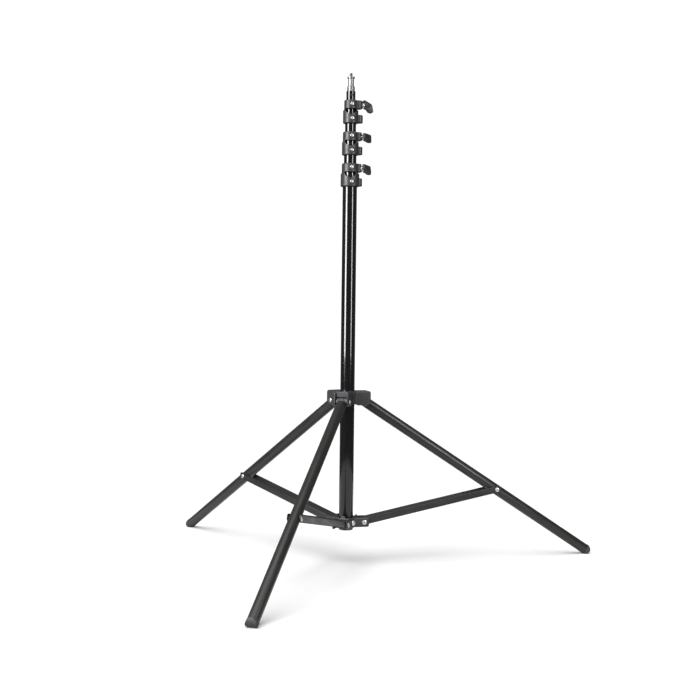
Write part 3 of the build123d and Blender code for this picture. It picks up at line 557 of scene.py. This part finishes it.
SPIGOT_R = 0.0079375
NECK_R = 0.006
SPIGOT_SHANK = 0.030
SPIGOT_SHANK_R = 0.00828
BASE_H = 0.0103
NECK_H = 0.0165
FLANGE_H = 0.0035
THREAD_R = 0.003175
THREAD_ROOT = 0.0024
THREAD_PITCH = 0.00127
THREAD_H = 0.008
THREAD_STEPS = 32
THREAD_SUNK = 0.0003
THREAD_CREST = 0.12
TIP_CHAMFER = 0.0004
NECK_CORNER = 0.0005
BASE_CHAMFER = 0.0008
FLANGE_CHAMFER = 0.0006
TURNED_STEPS = 96
SPIGOT_COLOUR = (0.17, 0.169, 0.166)
SPIGOT_RIVET = (0.0016, 0.0024, 0.0009)
RIVET_DOWN = 0.0085
RIVET_INNER_END = 0.002


def screw_thread(low, high):
    """A helical ridge about Z between two heights, closed at both ends."""
    bm = bmesh.new()
    half = THREAD_PITCH / 2
    points = ((THREAD_ROOT - THREAD_SUNK, -half), (THREAD_R, -half * THREAD_CREST),
              (THREAD_R, half * THREAD_CREST), (THREAD_ROOT - THREAD_SUNK, half))
    face = bm.faces.new([bm.verts.new((r, 0, low + half + z)) for r, z in points])
    turns = (high - low - THREAD_PITCH) / THREAD_PITCH
    steps = ceil(turns * THREAD_STEPS)
    bmesh.ops.spin(bm, geom=[face], cent=(0, 0, 0), axis=(0, 0, 1), angle=turns * tau, steps=steps,
                   dvec=(0, 0, turns * THREAD_PITCH / steps), use_merge=False, use_normal_flip=False,
                   use_duplicate=False)
    bmesh.ops.holes_fill(bm, edges=bm.edges)
    bmesh.ops.recalc_face_normals(bm, faces=bm.faces)
    return bm


turned_steel = finish("turned_steel", SPIGOT_COLOUR, 0.42, metallic=1.0)
spread(turned_steel, grain(turned_steel, (0.02, 0.02, 0.0004)), "Roughness", 0.36, 0.48)
tinted(turned_steel, grain(turned_steel, (0.01, 0.01, 0.004)), SPIGOT_COLOUR, (0.21, 0.208, 0.204))
tube_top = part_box("riser_3_tube")[1].z
neck_low = tube_top + BASE_H
flange_low = neck_low + NECK_H
tip_low = flange_low + FLANGE_H
tip_high = tip_low + THREAD_H
stud = spun([(0, tube_top - SPIGOT_SHANK), (SPIGOT_SHANK_R, tube_top - SPIGOT_SHANK),
             (SPIGOT_SHANK_R, tube_top), (SPIGOT_R, tube_top),
             (SPIGOT_R, neck_low - BASE_CHAMFER), (SPIGOT_R - BASE_CHAMFER, neck_low),
             (NECK_R + NECK_CORNER, neck_low), (NECK_R, neck_low + NECK_CORNER),
             (NECK_R, flange_low - NECK_CORNER), (NECK_R + NECK_CORNER, flange_low),
             (SPIGOT_R - FLANGE_CHAMFER, flange_low), (SPIGOT_R, flange_low + FLANGE_CHAMFER),
             (SPIGOT_R, tip_low - FLANGE_CHAMFER), (SPIGOT_R - FLANGE_CHAMFER, tip_low),
             (THREAD_ROOT, tip_low), (THREAD_ROOT, tip_high - TIP_CHAMFER),
             (THREAD_ROOT - TIP_CHAMFER, tip_high), (0, tip_high)], TURNED_STEPS, closed=False)
fitted("spigot_turned", joined([eased(stud, 0.0002, 2), screw_thread(tip_low, tip_high)]), turned_steel,
       "riser_3", "machined_steel", "spigot")
stand = aimed((0, 0, tube_top - RIVET_DOWN), (0, -1, 0), (1, 0, 0))
top_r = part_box("riser_3_tube")[1].x
rivet = headed_pin(*SPIGOT_RIVET, RIVET_INNER_END, top_r, False)
fitted("spigot_rivet_headed", placed(rivet, stand), gloss_black, "riser_3", "column_black", "spigot_rivet")

# ---------------------------------------------------------------------------------------------
# Studio. A small round white floor that glows a little, a white surround, and a broad soft light
# above. Two tall soft boxes draw the bright lines on the tubes; their light is kept off the floor.

CAMERA_PLACE = (-0.5895, -2.4274, 0.5292)
CAMERA_AZIMUTH = radians(76.249)
CAMERA_PITCH = radians(-1.829)
CAMERA_ROLL = radians(0.682)
CAMERA_LENS = 61.2
LOOK_AT = Vector((0, 0, 0.62))
SOFT_BOXES = (("left_box", 205, 2.3, 1.2, (0.9, 1.8), 140), ("right_box", 305, 2.3, 1.2, (0.3, 1.8), 44))
FLOOR_R = 0.75
FLOOR_GLOW = 0.14
CEILING_SPREAD = 70
CEILING_STRENGTH = 3.05
CEILING_FROM = (-0.5, -0.7, 2.0)
SURROUND_LIGHT = 0.16
SURROUND_SEEN = 1.05

camera = bpy.data.objects.new("camera", bpy.data.cameras.new("camera"))
ahead = Vector((cos(CAMERA_AZIMUTH) * cos(CAMERA_PITCH), sin(CAMERA_AZIMUTH) * cos(CAMERA_PITCH),
                sin(CAMERA_PITCH)))
level = Vector((sin(CAMERA_AZIMUTH), -cos(CAMERA_AZIMUTH), 0))
right = level * cos(CAMERA_ROLL) + level.cross(ahead) * sin(CAMERA_ROLL)
above = right.cross(ahead)
camera.matrix_world = Matrix.Translation(CAMERA_PLACE) @ Matrix((right, above, -ahead)).transposed().to_4x4()
camera.data.lens = CAMERA_LENS
camera.data.sensor_width = 36
camera.data.dof.use_dof = False
bpy.context.scene.collection.objects.link(camera)
bpy.context.scene.camera = camera

floor_paint = finish("floor_paint", (0.97, 0.97, 0.97), 0.85, specular=0.1)
glow = floor_paint.node_tree.nodes["Principled BSDF"].inputs
glow["Emission Color"].default_value = (1, 1, 1, 1)
glow["Emission Strength"].default_value = FLOOR_GLOW
bm = bmesh.new()
bmesh.ops.create_circle(bm, cap_ends=True, segments=96, radius=FLOOR_R)
mesh = bpy.data.meshes.new("floor")
bm.to_mesh(mesh)
bm.free()
mesh.materials.append(floor_paint)
floor = bpy.data.objects.new("floor", mesh)
bpy.context.scene.collection.objects.link(floor)
flagged = bpy.data.collections.new("flagged_from_boxes")
flagged.objects.link(floor)
flagged.collection_objects[0].light_linking.link_state = "EXCLUDE"

for name, azimuth, distance, height, size, power in SOFT_BOXES:
    data = bpy.data.lights.new(name, "AREA")
    data.shape = "RECTANGLE"
    data.size, data.size_y = size
    data.energy = power
    lamp = bpy.data.objects.new(name, data)
    place = Vector((cos(radians(azimuth)) * distance, sin(radians(azimuth)) * distance, height))
    turn = (LOOK_AT - place).to_track_quat("-Z", "Y").to_matrix().to_4x4()
    lamp.matrix_world = Matrix.Translation(place) @ turn
    bpy.context.scene.collection.objects.link(lamp)
    lamp.light_linking.receiver_collection = flagged
data = bpy.data.lights.new("ceiling", "SUN")
data.angle = radians(CEILING_SPREAD)
data.energy = CEILING_STRENGTH
lamp = bpy.data.objects.new("ceiling", data)
lamp.matrix_world = Vector(CEILING_FROM).to_track_quat("Z", "Y").to_matrix().to_4x4()
bpy.context.scene.collection.objects.link(lamp)

world = bpy.data.worlds.new("surround")
bpy.context.scene.world = world
world.use_nodes = True
sky = world.node_tree.nodes["Background"]
sky.inputs["Color"].default_value = (1, 1, 1, 1)
path = world.node_tree.nodes.new("ShaderNodeLightPath")
strength = world.node_tree.nodes.new("ShaderNodeMapRange")
strength.inputs["To Min"].default_value = SURROUND_LIGHT
strength.inputs["To Max"].default_value = SURROUND_SEEN
world.node_tree.links.new(path.outputs["Is Camera Ray"], strength.inputs["Value"])
world.node_tree.links.new(strength.outputs["Result"], sky.inputs["Strength"])
bpy.context.scene.view_settings.view_transform = "Standard"
